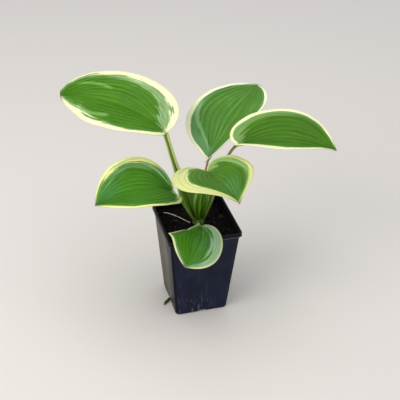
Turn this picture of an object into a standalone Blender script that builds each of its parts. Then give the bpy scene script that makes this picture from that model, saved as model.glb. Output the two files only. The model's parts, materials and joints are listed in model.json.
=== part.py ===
"""A young variegated hosta in a square black nursery pot.

Frame: metres, +Z up. The origin is the middle of the pot's flat underside, and
the pot's sides run along X and Y. Lengths below are in millimetres and angles in
degrees; everything is scaled to metres as its mesh is made.
"""

import math
from dataclasses import dataclass

import bmesh
import bpy
import numpy as np

MM = 0.001
GAP = 0.3  # clearance between pieces that rest on each other
PAST = 2.0  # how far a cutter runs out of the piece that it cuts

# Pot
POT_HEIGHT = 119.0
POT_TOP_WIDTH = 90.0
POT_BASE_WIDTH = 66.0
POT_WALL = 1.0
POT_FLOOR = 1.2
POT_CORNER_RADIUS = 5.5
POT_FOOT_RADIUS = 2.0
RIM_HEIGHT = 4.8
RIM_OVERHANG = 1.8
RIM_EDGE = 0.6  # rounding of the rim's edges
SLOT_WIDTH = 11.0
SLOT_HEIGHT = 3.8
SLOT_DEPTH = 6.0

# Soil
SOIL_TOP = 109.0
SOIL_CROWNING = 1.0  # how much higher the middle lies than the edge

# Crown: the short rootstock that carries the leaf stalks
CROWN_X, CROWN_Y = 4.0, 3.0
CROWN_BOTTOM = 98.0
CROWN_TOP = 111.5
CROWN_SIDES = 16
CROWN_PROFILE = (  # height and radius, from the bottom up
    (CROWN_BOTTOM, 4.6),
    (100.0, 6.4),
    (104.0, 7.4),
    (108.0, 7.6),
    (110.5, 7.3),
    (CROWN_TOP, 6.9),
)

# Roots
ROOT_RADIUS = 1.1
ROOT_TIP_RADIUS = 0.6
ROOT_RING = 2.7  # distance of the roots' tops from the crown's axis
ROOT_STEPS = 16

# Leaf stalks
STALK_DEPTH = 0.62  # depth of the section over its width
STALK_SIDES = 12
STALK_STEPS = 12
STALK_LEVELLED = 5  # rings at the foot that ease from level into the stalk's bend
STALK_BACK = 0.45  # height of its upper side over a round section's
STALK_GROOVE = 0.55  # depth of the groove in the upper side
STALK_GROOVE_WIDTH = 0.6  # width of that groove over the stalk's
STALK_TAPER = 0.25  # share of its width that it loses on the way up
STALK_RISE = 0.08  # how far a stalk first stands upright, over its length
STALK_LEAN_OUT = 0.2  # and how far it then heads for its blade
STALK_LEAN_IN = 0.22  # how far it runs along with its blade at the end
STALK_TURN = 0.8  # how much it takes up the midrib's direction there

# Leaf blades
BLADE_THICKNESS = 0.8
DROOP_POWER = 1.3  # above 1, a midrib bends mostly near its tip
LOBE_REACH = 1.25  # pull of the outline's control point behind the base
LOBE_WIDTH = 0.3
TIP_PULL = 0.22
TIP_WIDTH = 0.3
TIP_FULLNESS = 1.2
OPENING_START = 0.4  # where along the midrib an opening blade starts to lose its fold
OPENING_POWER = 1.5
CORNER_DEPTH = 0.4  # how far in from the margin a drawn-out corner reaches
BLADE_STEPS = 14  # rows from the base to the tip
BLADE_SIDE_STEPS = 5  # columns from the midrib to each margin

# Dry strand on the soil
STRAND_RADIUS = 0.55
STRAND_STEPS = 18
STRAND_SIDES = 6


@dataclass
class Leaf:
    """One leaf. Pairs of numbers are for its left and right half, seen from above
    with the tip pointing away."""

    name: str
    foot: tuple  # offset of the stalk's foot from the crown's axis
    base: tuple  # where the stalk meets the blade
    heading: float  # compass direction of the midrib at its base, from +X
    sweep: float  # how much the midrib turns sideways on its way to the tip
    pitch: float  # rise of the midrib at its base
    droop: float  # how much the midrib has bent down at its tip
    roll: float  # tilt about the midrib, positive with the left half up
    twist: float  # change of the roll on the way to the tip
    length: float
    half_width: tuple
    lobe: tuple  # basal lobe, as a share of the length
    belly: float  # place of the widest part along the midrib
    tip: float  # 0 for a blunt tip, 1 for a long drawn-out one
    shoulder: tuple  # fullness of the outline before and after its widest part
    fold: tuple  # rise of each half at the midrib
    curl: tuple  # change of that rise out to the margin
    stalk_width: float
    bow: tuple = (0.0, 0.0, 0.0)  # sideways bend of the stalk at its middle
    opening: float = 0.0  # share of its fold that the blade has lost at its tip
    corners: tuple = ()  # drawn-out margin corners: place along, side, reach, x, y, z


LEAVES = (
    Leaf(
        "back_left", foot=(-2.8, 3.8), base=(-28.5, 34.5, 221.0),
        heading=115.5, sweep=56, pitch=16.5, droop=17, roll=2, twist=-35, length=144,
        half_width=(53.5, 43.5), lobe=(0.07, 0.01), belly=0.33, tip=0.10,
        shoulder=(0.29, 0.42), fold=(25, 28), curl=(-30, -2), stalk_width=6.6,
        bow=(-6.5, -1.0, 0.0), opening=0.9,
    ),
    Leaf(
        "back_right", foot=(3.2, 3.6), base=(26.5, 46.0, 171.2),
        heading=9, sweep=40, pitch=54.5, droop=38, roll=-9, twist=15, length=117.5,
        half_width=(53.5, 43.5), lobe=(0.01, 0.06), belly=0.31, tip=0.05,
        shoulder=(0.28, 0.35), fold=(23, 30.5), curl=(28, 2), stalk_width=4.2,
        opening=0.9,
    ),
    Leaf(
        "right", foot=(4.6, -1.2), base=(44.4, -4.6, 217.5),
        heading=-15.5, sweep=-11, pitch=8, droop=18.5, roll=-1.5, twist=4, length=116,
        half_width=(44, 41.5), lobe=(0.12, 0.07), belly=0.45, tip=0.30,
        shoulder=(0.42, 0.37), fold=(30, 31.5), curl=(9.5, -19), stalk_width=4.6,
        bow=(4.0, 5.0, 0.0),
    ),
    Leaf(
        "left", foot=(-4.3, -1.8), base=(-27.5, 0.0, 162.0),
        heading=193, sweep=-9, pitch=30, droop=63, roll=-18, twist=-4, length=103,
        half_width=(33, 41), lobe=(0.11, 0.02), belly=0.44, tip=0.35,
        shoulder=(0.41, 0.32), fold=(18, 10), curl=(-13, 2), stalk_width=4.6,
    ),
    Leaf(
        "front", foot=(0.0, 0.0), base=(7.0, -15.0, 193.5),
        heading=-87, sweep=2, pitch=18, droop=24, roll=8, twist=-5, length=100,
        half_width=(41, 51), lobe=(0.25, 0.25), belly=0.39, tip=0.50,
        shoulder=(0.48, 0.33), fold=(29, 28), curl=(-30, -48), stalk_width=4.8,
    ),
    Leaf(
        "low_front", foot=(0.4, -5.0), base=(-1.5, -27.4, 125.4),
        heading=-98.5, sweep=-53, pitch=4.5, droop=44.5, roll=-1.5, twist=-14.5, length=66,
        half_width=(28.5, 28), lobe=(0.14, 0.06), belly=0.48, tip=0.20,
        shoulder=(0.38, 0.37), fold=(10.5, 7), curl=(-46, -17), stalk_width=3.6,
        corners=((0.44, -1.0, 0.08, -9.5, 2.8, 2.5), (0.07, -0.9, 0.05, 1.5, 0.5, 5.0)),
    ),
)

ROOTS = {  # name: stops of the root's route from the crown to its tip
    "to_slot": (
        (-22.0, 10.0, 72.0), (-28.5, 7.0, 36.0), (-29.5, 0.5, 5.0),
        (-34.0, -1.5, 2.0), (-39.5, -6.5, 1.6), (-43.5, -10.5, 1.3),
    ),
    "front": ((8.0, -14.0, 80.0), (14.0, -26.0, 48.0), (2.0, -25.0, 20.0)),
    "right": ((21.0, 2.0, 84.0), (30.0, 10.0, 56.0), (23.0, 23.0, 28.0)),
    "back": ((0.0, 19.0, 78.0), (-12.0, 27.0, 44.0), (-4.0, 23.0, 16.0)),
}
STRAND_ROUTE = (  # along the soil; the third number is the height above its resting level
    (-36.8, 33.2, 0.0), (-31.0, 32.2, 0.5), (-24.0, 26.0, 1.0),
    (-15.5, 15.5, 0.8), (-9.0, 7.0, 0.3), (-6.0, 3.4, 0.0),
)


def clear_scene():
    """Empty the file of the objects that it starts with."""
    for thing in list(bpy.data.objects):
        bpy.data.objects.remove(thing, do_unlink=True)


def material(name, colour, roughness):
    """A Principled material of one colour."""
    made = bpy.data.materials.new(name)
    made.use_nodes = True
    shader = made.node_tree.nodes["Principled BSDF"]
    shader.inputs["Base Color"].default_value = (*colour, 1.0)
    shader.inputs["Roughness"].default_value = roughness
    return made


def add_object(name, bm, finish):
    """An object from a bmesh whose coordinates are millimetres."""
    bmesh.ops.scale(bm, vec=(MM, MM, MM), verts=bm.verts)
    bmesh.ops.recalc_face_normals(bm, faces=bm.faces)
    mesh = bpy.data.meshes.new(name)
    bm.to_mesh(mesh)
    bm.free()
    mesh.materials.append(finish)
    mesh.shade_smooth()
    mesh.set_sharp_from_angle(angle=math.radians(35))
    made = bpy.data.objects.new(name, mesh)
    bpy.context.collection.objects.link(made)
    return made


def loft(rings):
    """A closed skin over rings of equally many points, with both ends filled."""
    bm = bmesh.new()
    rows = [[bm.verts.new(point) for point in ring] for ring in rings]
    count = len(rows[0])
    for lower, upper in zip(rows, rows[1:]):
        for i in range(count):
            j = (i + 1) % count
            bm.faces.new((lower[i], lower[j], upper[j], upper[i]))
    bm.faces.new(list(reversed(rows[0])))
    bm.faces.new(rows[-1])
    return bm


def cutter_for(target, name, bm, finish):
    """Cut a shape out of target. The shape stays as a hidden helper."""
    helper = add_object(name, bm, finish)
    helper.hide_render = True
    helper.display_type = "WIRE"
    cut = target.modifiers.new(name, "BOOLEAN")
    cut.operation = "DIFFERENCE"
    cut.solver = "EXACT"
    cut.object = helper
    return helper


def smooth_route(points, count):
    """count points, evenly spaced, on a smooth curve through the given points."""
    knots = np.array(points, float)
    padded = np.vstack([2 * knots[0] - knots[1], knots, 2 * knots[-1] - knots[-2]])
    fine = []
    for before, start, end, after in zip(padded, padded[1:], padded[2:], padded[3:]):
        for t in np.linspace(0, 1, 24, endpoint=False):
            fine.append(0.5 * (
                2 * start + (end - before) * t
                + (2 * before - 5 * start + 4 * end - after) * t**2
                + (3 * start - before - 3 * end + after) * t**3
            ))
    fine = np.array(fine + [knots[-1]])
    steps = np.linalg.norm(np.diff(fine, axis=0), axis=1)
    travelled = np.concatenate([[0.0], np.cumsum(steps)])
    wanted = np.linspace(0.0, travelled[-1], count)
    return np.stack([np.interp(wanted, travelled, fine[:, k]) for k in range(3)], axis=1)


def directions(route):
    """Unit tangents along a route."""
    along = np.gradient(route, axis=0)
    return along / np.linalg.norm(along, axis=1, keepdims=True)


def tube_rings(route, radii, sides=8):
    """Round rings along a route, with no twist from one ring to the next."""
    rings = []
    across = np.array((1.0, 0.0, 0.0))
    for point, tangent, radius in zip(route, directions(route), radii):
        across = across - tangent * np.dot(across, tangent)
        across = across / np.linalg.norm(across)
        other = np.cross(tangent, across)
        turns = [2 * math.pi * k / sides for k in range(sides)]
        rings.append([
            point + radius * (math.cos(a) * across + math.sin(a) * other) for a in turns
        ])
    return rings


# ---------------------------------------------------------------- pot and soil


def rounded_square(width, radius, z, steps=4):
    """Points of a square with round corners, at height z."""
    inset = width / 2 - radius
    points = []
    for corner in range(4):
        for k in range(steps + 1):
            angle = math.radians(90 * (corner + k / steps))
            cx = inset * (1 if corner in (0, 3) else -1)
            cy = inset * (1 if corner in (0, 1) else -1)
            points.append((cx + radius * math.cos(angle), cy + radius * math.sin(angle), z))
    return points


def wall_width(z):
    """Outer width of the pot's tapered wall at height z."""
    top = POT_TOP_WIDTH - 2 * RIM_OVERHANG
    return POT_BASE_WIDTH + (top - POT_BASE_WIDTH) * z / POT_HEIGHT


def make_pot(finish):
    rings = []
    for angle in (0, 30, 60, 90):
        turn = math.radians(angle)
        z = POT_FOOT_RADIUS * (1 - math.cos(turn))
        pulled_in = 2 * POT_FOOT_RADIUS * (1 - math.sin(turn))
        rings.append(rounded_square(wall_width(z) - pulled_in, POT_CORNER_RADIUS, z))
    under_rim = POT_HEIGHT - RIM_HEIGHT
    edge_width = POT_TOP_WIDTH - 2 * RIM_EDGE
    rings.append(rounded_square(wall_width(under_rim), POT_CORNER_RADIUS, under_rim))
    rings.append(rounded_square(edge_width, POT_CORNER_RADIUS, under_rim + RIM_EDGE / 3))
    rings.append(rounded_square(POT_TOP_WIDTH, POT_CORNER_RADIUS, under_rim + RIM_EDGE))
    rings.append(rounded_square(POT_TOP_WIDTH, POT_CORNER_RADIUS, POT_HEIGHT - RIM_EDGE))
    rings.append(rounded_square(edge_width, POT_CORNER_RADIUS, POT_HEIGHT))
    inner_radius = POT_CORNER_RADIUS - POT_WALL
    mouth = wall_width(POT_HEIGHT) - 2 * POT_WALL
    rings.append(rounded_square(mouth, inner_radius, POT_HEIGHT))
    floor_width = wall_width(POT_FOOT_RADIUS + POT_FLOOR) - 2 * POT_WALL
    rings.append(rounded_square(floor_width, inner_radius, POT_FOOT_RADIUS + POT_FLOOR))
    rings.append(rounded_square(floor_width - 2 * POT_FOOT_RADIUS, inner_radius, POT_FLOOR))
    pot = add_object("pot", loft(rings), finish)
    for side in range(4):
        turn = math.radians(90 * side)
        slot = bmesh.new()
        bmesh.ops.create_cube(slot, size=1.0)
        bmesh.ops.scale(slot, vec=(2 * SLOT_DEPTH, SLOT_WIDTH, 2 * SLOT_HEIGHT), verts=slot.verts)
        helper = cutter_for(pot, f"drain_slot_cutter_{side}", slot, finish)
        reach = POT_BASE_WIDTH / 2 * MM
        helper.location = (reach * math.cos(turn), reach * math.sin(turn), 0.0)
        helper.rotation_euler = (0.0, 0.0, turn)


def make_soil(finish, root_routes):
    clearance = POT_WALL + GAP
    rings = []
    bottom = POT_FLOOR + GAP
    shoulder = POT_FOOT_RADIUS + POT_FLOOR + GAP
    radius = POT_CORNER_RADIUS - clearance
    foot_width = wall_width(shoulder) - 2 * clearance - GAP
    rings.append(rounded_square(foot_width - 2 * POT_FOOT_RADIUS, radius, bottom))
    rings.append(rounded_square(foot_width, radius, shoulder))
    for share in (1.0, 0.75, 0.45, 0.2):
        width = (wall_width(SOIL_TOP) - 2 * clearance) * share
        height = SOIL_TOP + SOIL_CROWNING * (1 - share**2)
        rings.append(rounded_square(width, radius * share, height))
    soil = add_object("soil", loft(rings), finish)
    cutter_for(soil, "crown_socket_cutter", crown_shape(GAP, GAP, PAST), finish)
    for name, route in root_routes.items():
        above = route[0] + np.array((0.0, 0.0, PAST))
        beyond = route[-1] + GAP * directions(route)[-1]
        longer = np.vstack([above, route, beyond])
        radii = np.concatenate([[ROOT_RADIUS], root_radii(len(route)), [ROOT_TIP_RADIUS]])
        channel = loft(tube_rings(longer, radii + GAP))
        cutter_for(soil, f"root_channel_cutter_{name}", channel, finish)


def soil_height(x, y):
    """Height of the soil's surface."""
    half = wall_width(SOIL_TOP) / 2
    share = min(1.0, max(abs(x), abs(y)) / half)
    return SOIL_TOP + SOIL_CROWNING * (1 - share**2)


# ---------------------------------------------------------------- crown, roots, strand


def crown_shape(margin, below=0.0, above=0.0):
    """The crown as a turned body, grown sideways, downwards and upwards."""
    heights = [z for z, _ in CROWN_PROFILE]
    heights[0] -= below
    heights[-1] += above
    turns = [2 * math.pi * k / CROWN_SIDES for k in range(CROWN_SIDES)]
    rings = []
    for z, (_, radius) in zip(heights, CROWN_PROFILE):
        grown = radius + margin
        rings.append([
            (CROWN_X + grown * math.cos(a), CROWN_Y + grown * math.sin(a), z) for a in turns
        ])
    return loft(rings)


def root_radii(count):
    """Radii along a root, from the crown to its tip."""
    shares = np.linspace(0, 1, count)
    return ROOT_RADIUS + (ROOT_TIP_RADIUS - ROOT_RADIUS) * shares**2


def plan_roots():
    """The route of each root, which starts straight down from the crown."""
    start_z = CROWN_BOTTOM - GAP
    routes = {}
    for name, stops in ROOTS.items():
        first = np.array(stops[0])
        away = first[:2] - (CROWN_X, CROWN_Y)
        away = away / np.linalg.norm(away) * ROOT_RING
        top = (CROWN_X + away[0], CROWN_Y + away[1], start_z)
        below = (top[0] + 0.25 * away[0], top[1] + 0.25 * away[1], start_z - 3.0)
        routes[name] = smooth_route([top, below, *stops], ROOT_STEPS)
    return routes


def make_roots(finish, routes):
    for name, route in routes.items():
        rings = tube_rings(route, root_radii(len(route)))
        level_start(rings, route, 1)
        add_object(f"root_{name}", loft(rings), finish)


def level_start(rings, route, count):
    """Lay a tube's first ring level, and ease the next ones from there into its bend."""
    for k in range(count):
        level = route[k][2]
        rings[k] = [
            np.array((point[0], point[1], level + (point[2] - level) * k / count))
            for point in rings[k]
        ]


def make_strand(finish):
    points = [
        (x, y, soil_height(x, y) + STRAND_RADIUS + GAP + lift) for x, y, lift in STRAND_ROUTE
    ]
    route = smooth_route(points, STRAND_STEPS)
    rings = tube_rings(route, [STRAND_RADIUS] * STRAND_STEPS, STRAND_SIDES)
    add_object("dry_strand", loft(rings), finish)


# ---------------------------------------------------------------- leaves


def bezier(points, t):
    """Cubic Bezier through the parameters t."""
    p0, p1, p2, p3 = (np.array(point, float) for point in points)
    t = t[:, None]
    return (1 - t)**3 * p0 + 3 * (1 - t)**2 * t * p1 + 3 * (1 - t) * t**2 * p2 + t**3 * p3


def margin_outline(leaf, half, steps):
    """Flat outline of one half from base to tip: x along the midrib, y outwards."""
    length, width = leaf.length, leaf.half_width[half]
    lobe, (back, front) = leaf.lobe[half], leaf.shoulder
    widest = leaf.belly * length
    t = np.linspace(0, 1, steps // 2 + 1)
    behind = (-LOBE_REACH * lobe * length, LOBE_WIDTH * width)
    ahead = (length * (1 - TIP_PULL * leaf.tip), TIP_WIDTH * width * (TIP_FULLNESS - leaf.tip))
    middle = (widest, width)
    rear = bezier(((0, 0), behind, (widest - back * length, width), middle), t)
    fore = bezier((middle, (widest + front * length, width), ahead, (length, 0)), t)
    return np.vstack([rear, fore[1:]])


def midrib_frames(leaf, x):
    """Point, tangent, sideways and upward directions where the midrib is x long."""
    count = 400
    share = np.linspace(0, 1, count + 1)
    pitch = np.radians(leaf.pitch - leaf.droop * share**DROOP_POWER)
    heading = np.radians(leaf.heading + leaf.sweep * share)
    tangents = np.stack(
        [np.cos(pitch) * np.cos(heading), np.cos(pitch) * np.sin(heading), np.sin(pitch)], axis=1
    )
    steps = (tangents[1:] + tangents[:-1]) / 2 * leaf.length / count
    points = np.array(leaf.base) + np.vstack([np.zeros(3), np.cumsum(steps, axis=0)])
    inside = np.clip(x, 0, leaf.length) / leaf.length
    at = [np.interp(inside, share, points[:, k]) for k in range(3)]
    tangent = np.stack([np.interp(inside, share, tangents[:, k]) for k in range(3)], axis=1)
    tangent /= np.linalg.norm(tangent, axis=1, keepdims=True)
    point = np.stack(at, axis=1) + tangent * (x - inside * leaf.length)[:, None]
    turn = np.interp(inside, share, heading)
    sideways = np.stack([-np.sin(turn), np.cos(turn), np.zeros_like(turn)], axis=1)
    return point, tangent, sideways, np.cross(tangent, sideways)


def blade_grid(leaf):
    """Columns of points from the right margin over the midrib to the left one."""
    along = np.linspace(0, leaf.length, BLADE_STEPS + 1)
    columns = []
    for share in np.linspace(-1, 1, 2 * BLADE_SIDE_STEPS + 1):
        half = 0 if share > 0 else 1
        sign, v = (1, share) if share > 0 else (-1, -share)
        outline = margin_outline(leaf, half, BLADE_STEPS)
        x = (1 - v**2) * along + v**2 * outline[:, 0]
        y = v * outline[:, 1]
        point, _, sideways, upward = midrib_frames(leaf, x)
        roll = np.radians(leaf.roll + leaf.twist * np.clip(x / leaf.length, 0, 1))
        opened = np.clip((x / leaf.length - OPENING_START) / (1 - OPENING_START), 0, 1)
        fold = math.radians(leaf.fold[half]) * (1 - leaf.opening * opened**OPENING_POWER)
        curl = math.radians(leaf.curl[half])
        width = leaf.half_width[half]
        q = y / width
        out = sign * width / curl * (np.sin(fold + curl * q) - np.sin(fold))
        rise = width / curl * (np.cos(fold) - np.cos(fold + curl * q))
        shift = out * np.cos(roll) - rise * np.sin(roll)
        lift = out * np.sin(roll) + rise * np.cos(roll)
        column = point + sideways * shift[:, None] + upward * lift[:, None]
        for place, side, reach, *pull in leaf.corners:
            near = np.exp(-np.abs(along / leaf.length - place) / reach)
            near = near * math.exp(-((share - side) / CORNER_DEPTH)**2)
            column = column + near[:, None] * np.array(pull)
        columns.append(column)
    return np.stack(columns, axis=1)


def make_blade(leaf, finish):
    """The blade as a sheet between its two poles, base and tip, made solid."""
    grid = blade_grid(leaf)
    bm = bmesh.new()
    base = bm.verts.new(grid[0].mean(axis=0))
    tip = bm.verts.new(grid[-1].mean(axis=0))
    rows = [[bm.verts.new(point) for point in row] for row in grid[1:-1]]
    for left, right in zip(rows[0], rows[0][1:]):
        bm.faces.new((base, right, left))
    for lower, upper in zip(rows, rows[1:]):
        for k in range(len(lower) - 1):
            bm.faces.new((lower[k], lower[k + 1], upper[k + 1], upper[k]))
    for left, right in zip(rows[-1], rows[-1][1:]):
        bm.faces.new((left, right, tip))
    blade = add_object(f"blade_{leaf.name}", bm, finish)
    solid = blade.modifiers.new("Thickness", "SOLIDIFY")
    solid.thickness = BLADE_THICKNESS * MM
    solid.offset = -1.0


def stalk_section(width):
    """Half-round section of a stalk with a groove on its upper side: sideways and up."""
    points = []
    for k in range(STALK_SIDES):
        angle = 2 * math.pi * k / STALK_SIDES
        side, up = math.cos(angle), math.sin(angle)
        if up > 0:
            groove = max(0.0, 1 - (side / STALK_GROOVE_WIDTH)**2)
            up = STALK_BACK * up - STALK_GROOVE * groove
        points.append((side * width / 2, up * width * STALK_DEPTH / 2))
    return points


def make_stalk(leaf, finish):
    """A stalk that rises from the crown and bends over into its blade."""
    foot = np.array((CROWN_X + leaf.foot[0], CROWN_Y + leaf.foot[1], CROWN_TOP + GAP))
    _, tangent, _, upward = midrib_frames(leaf, np.array([0.0]))
    narrow = leaf.stalk_width * (1 - STALK_TAPER)
    clearance = BLADE_THICKNESS + GAP + narrow * STALK_DEPTH * STALK_BACK / 4
    end = np.array(leaf.base) - upward[0] * clearance - tangent[0] * GAP
    reach = np.linalg.norm(end - foot)
    straight = (end - foot) / reach
    arrival = straight + STALK_TURN * tangent[0]
    arrival /= np.linalg.norm(arrival)
    bow = np.array(leaf.bow)
    rise = np.array((0.0, 0.0, STALK_RISE * reach)) + straight * STALK_LEAN_OUT * reach
    lean = arrival * STALK_LEAN_IN * reach
    t = np.linspace(0, 1, STALK_STEPS + 1)
    route = bezier((foot, foot + rise + bow, end - lean + bow, end), t)
    heading = math.radians(leaf.heading)
    sideways = np.array((-math.sin(heading), math.cos(heading), 0.0))
    rings = []
    for share, point, along in zip(t, route, directions(route)):
        level = sideways - along * np.dot(sideways, along)
        level /= np.linalg.norm(level)
        roll = math.radians(leaf.roll) * share
        across = level * math.cos(roll) + np.cross(along, level) * math.sin(roll)
        up = np.cross(along, across)
        width = leaf.stalk_width + (narrow - leaf.stalk_width) * share
        rings.append([point + across * a + up * b for a, b in stalk_section(width)])
    level_start(rings, route, STALK_LEVELLED)
    add_object(f"stalk_{leaf.name}", loft(rings), finish)


def main():
    clear_scene()
    plastic = material("pot_plastic", (0.018, 0.020, 0.030), 0.45)
    earth = material("potting_soil", (0.030, 0.020, 0.016), 0.95)
    crown_skin = material("crown_skin", (0.30, 0.38, 0.12), 0.55)
    root_skin = material("root_skin", (0.28, 0.22, 0.12), 0.70)
    straw = material("dry_straw", (0.50, 0.36, 0.26), 0.75)
    stalk_green = material("stalk_green", (0.13, 0.26, 0.05), 0.50)
    blade_green = material("blade_green", (0.12, 0.32, 0.05), 0.45)

    root_routes = plan_roots()
    make_pot(plastic)
    make_soil(earth, root_routes)
    add_object("crown", crown_shape(0.0), crown_skin)
    make_roots(root_skin, root_routes)
    make_strand(straw)
    for leaf in LEAVES:
        make_stalk(leaf, stalk_green)
        make_blade(leaf, blade_green)


main()
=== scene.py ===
import json
import math
from dataclasses import dataclass

import bmesh
import bpy
import numpy as np
from mathutils import Euler, Matrix, Vector

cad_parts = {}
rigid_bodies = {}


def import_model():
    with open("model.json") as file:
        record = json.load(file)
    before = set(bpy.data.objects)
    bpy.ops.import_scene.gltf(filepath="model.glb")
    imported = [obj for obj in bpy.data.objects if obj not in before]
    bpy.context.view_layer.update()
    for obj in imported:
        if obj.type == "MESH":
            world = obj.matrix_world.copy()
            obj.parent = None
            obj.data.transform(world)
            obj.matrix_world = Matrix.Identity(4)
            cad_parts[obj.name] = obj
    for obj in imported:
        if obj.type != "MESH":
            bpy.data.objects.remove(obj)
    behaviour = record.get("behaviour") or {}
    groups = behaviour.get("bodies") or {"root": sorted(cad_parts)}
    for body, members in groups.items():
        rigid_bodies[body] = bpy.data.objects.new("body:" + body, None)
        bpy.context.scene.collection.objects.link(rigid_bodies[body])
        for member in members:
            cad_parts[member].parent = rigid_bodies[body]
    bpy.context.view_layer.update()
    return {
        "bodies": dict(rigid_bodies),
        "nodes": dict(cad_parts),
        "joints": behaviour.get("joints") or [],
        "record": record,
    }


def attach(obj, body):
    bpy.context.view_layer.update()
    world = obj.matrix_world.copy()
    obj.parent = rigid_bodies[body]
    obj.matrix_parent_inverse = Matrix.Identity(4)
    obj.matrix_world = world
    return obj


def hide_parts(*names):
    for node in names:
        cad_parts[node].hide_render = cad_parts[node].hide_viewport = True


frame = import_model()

MM = 0.001


def srgb(red, green, blue):
    """Linear colour from 0-255 display values."""
    values = np.array((red, green, blue)) / 255
    bright = ((values + 0.055) / 1.055)**2.4
    return tuple(np.where(values <= 0.04045, values / 12.92, bright))


def scaled(colour, *factors):
    """A linear colour times one factor, or one for each channel, and at most full brightness."""
    return tuple(np.minimum(1, np.multiply(colour, factors)))


# ---- materials


class Shader:
    """A Principled material built from nodes. Sockets and plain values both work as arguments."""

    def __init__(self, name, **constants):
        self.material = bpy.data.materials.new(name)
        self.material.use_nodes = True
        self.tree = self.material.node_tree
        self.surface = self.tree.nodes["Principled BSDF"]
        self.fill(self.surface, **constants)

    def put(self, socket, value):
        if isinstance(value, bpy.types.NodeSocket):
            self.tree.links.new(value, socket)
        elif socket.type == "RGBA":
            socket.default_value = (*value, 1)
        else:
            socket.default_value = value

    def fill(self, node, **values):
        """Put values into a node's inputs. A name has _ for a space, and None is left out."""
        for key, value in values.items():
            if value is not None:
                self.put(node.inputs[key.replace("_", " ")], value)

    def node(self, kind, *values, **settings):
        made = self.tree.nodes.new("ShaderNode" + kind)
        for key, value in settings.items():
            setattr(made, key, value)
        for socket, value in zip(made.inputs, values):
            self.put(socket, value)
        return made

    def field(self, name):
        """A mesh attribute as three numbers."""
        made = self.node("Attribute", attribute_name=name)
        return self.node("SeparateXYZ", made.outputs["Vector"]).outputs

    def math(self, operation, *values):
        return self.node("Math", *values, operation=operation).outputs[0]

    def times(self, first, second):
        return self.math("MULTIPLY", first, second)

    def minus(self, first, second):
        return self.math("SUBTRACT", first, second)

    def line(self, value, slope, start):
        """value times slope, plus start."""
        return self.math("MULTIPLY_ADD", value, slope, start)

    def mix(self, factor, first, second):
        """first where factor is 0, second where it is 1."""
        made = self.node("Mix", data_type="RGBA")
        self.put(made.inputs["Factor"], factor)
        self.put(made.inputs[6], first)
        self.put(made.inputs[7], second)
        return made.outputs[2]

    def over(self, colour, top, mask, strength):
        """colour with top laid over it where mask is 1, at a strength up to 1."""
        return self.mix(self.times(mask, strength), colour, top)

    def step(self, value, low, high):
        """0 at low and 1 at high, smooth between. low may be the larger of the two."""
        return self.node("MapRange", value, low, high, 0, 1, interpolation_type="SMOOTHSTEP").outputs[0]

    def noise(self, vector, scale, detail=2, roughness=0.5):
        made = self.node("TexNoise")
        self.fill(made, Vector=vector, Scale=scale, Detail=detail, Roughness=roughness)
        return made.outputs["Fac"]

    def fibres(self, across, along, shift, detail=2, roughness=0.5):
        """Noise drawn out in one direction. across and along are each a value and its scale."""
        vector = self.node("CombineXYZ", self.times(*across), self.times(*along), shift).outputs[0]
        return self.noise(vector, 1, detail, roughness)

    def place(self):
        """Place in the frame, in metres."""
        return self.node("TexCoord").outputs["Object"]

    def bump(self, height, distance, strength=1, after=None):
        made = self.node("Bump")
        self.fill(made, Strength=strength, Distance=distance, Height=height, Normal=after)
        return made.outputs[0]

    def finish(self, colour, roughness, normal=None):
        self.fill(self.surface, Base_Color=colour, Roughness=roughness, Normal=normal)
        return self.material


# ---- mesh helpers


def show(name, data):
    """A new object in the scene."""
    made = bpy.data.objects.new(name, data)
    bpy.context.collection.objects.link(made)
    return made


def add_mesh(name, points, faces, material, **fields):
    """A smooth mesh from points in millimetres. fields are vector attributes, one row a point."""
    mesh = bpy.data.meshes.new(name)
    mesh.from_pydata((points * MM).tolist(), [], faces)
    for key, rows in fields.items():
        made = mesh.attributes.new(key, "FLOAT_VECTOR", "POINT")
        made.data.foreach_set("vector", np.asarray(rows, np.float32).ravel())
    mesh.validate()
    mesh.update()
    mesh.shade_smooth()
    mesh.materials.append(material)
    return show(name, mesh)


def declare(piece, slot, *nodes):
    """Attach a piece to the root body, and hide the CAD nodes it stands for. What the piece is, slot, is
    not used.
    """
    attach(piece, "root")
    if nodes:
        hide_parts(*nodes)


def bezier(points, t):
    """Points on the cubic curve with four control points."""
    start, leave, arrive, end = (np.array(point, float) for point in points)
    t = np.asarray(t)[..., None]
    return (1 - t)**3 * start + 3 * (1 - t)**2 * t * leave + 3 * (1 - t) * t**2 * arrive + t**3 * end


def smooth_route(points, count):
    """count points, evenly spaced, on a smooth curve through the given points."""
    steps = 24
    knots = np.array(points, float)
    padded = np.vstack([2 * knots[0] - knots[1], knots, 2 * knots[-1] - knots[-2]])
    fine = []
    for before, start, end, after in zip(padded, padded[1:], padded[2:], padded[3:]):
        leave, arrive = start + (end - before) / 6, end - (after - start) / 6
        fine.append(bezier((start, leave, arrive, end), np.linspace(0, 1, steps, endpoint=False)))
    fine = np.vstack(fine + [knots[-1]])
    travelled = np.concatenate([[0], np.cumsum(np.linalg.norm(np.diff(fine, axis=0), axis=1))])
    wanted = np.linspace(0, travelled[-1], count)
    return np.stack([np.interp(wanted, travelled, column) for column in fine.T], axis=1)


def unit(vectors):
    return vectors / np.linalg.norm(vectors, axis=-1, keepdims=True)


def directions(route):
    return unit(np.gradient(route, axis=0))


def grid_faces(rows, columns):
    """Four-sided faces between rows of equally many points."""
    starts = [i * columns + j for i in range(rows - 1) for j in range(columns - 1)]
    return [(a, a + 1, a + columns + 1, a + columns) for a in starts]


def skin_faces(rows, columns):
    """Faces of a closed tube of rows rings, with a fan at each end around two more points."""
    first = rows * columns
    sides = [(j, (j + 1) % columns) for j in range(columns)]
    faces = []
    for low in range(0, first - columns, columns):
        high = low + columns
        faces += [(low + j, low + k, high + k, high + j) for j, k in sides]
    for j, k in sides:
        faces.append((first, k, j))
        faces.append((first + 1, high + j, high + k))
    return faces


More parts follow.
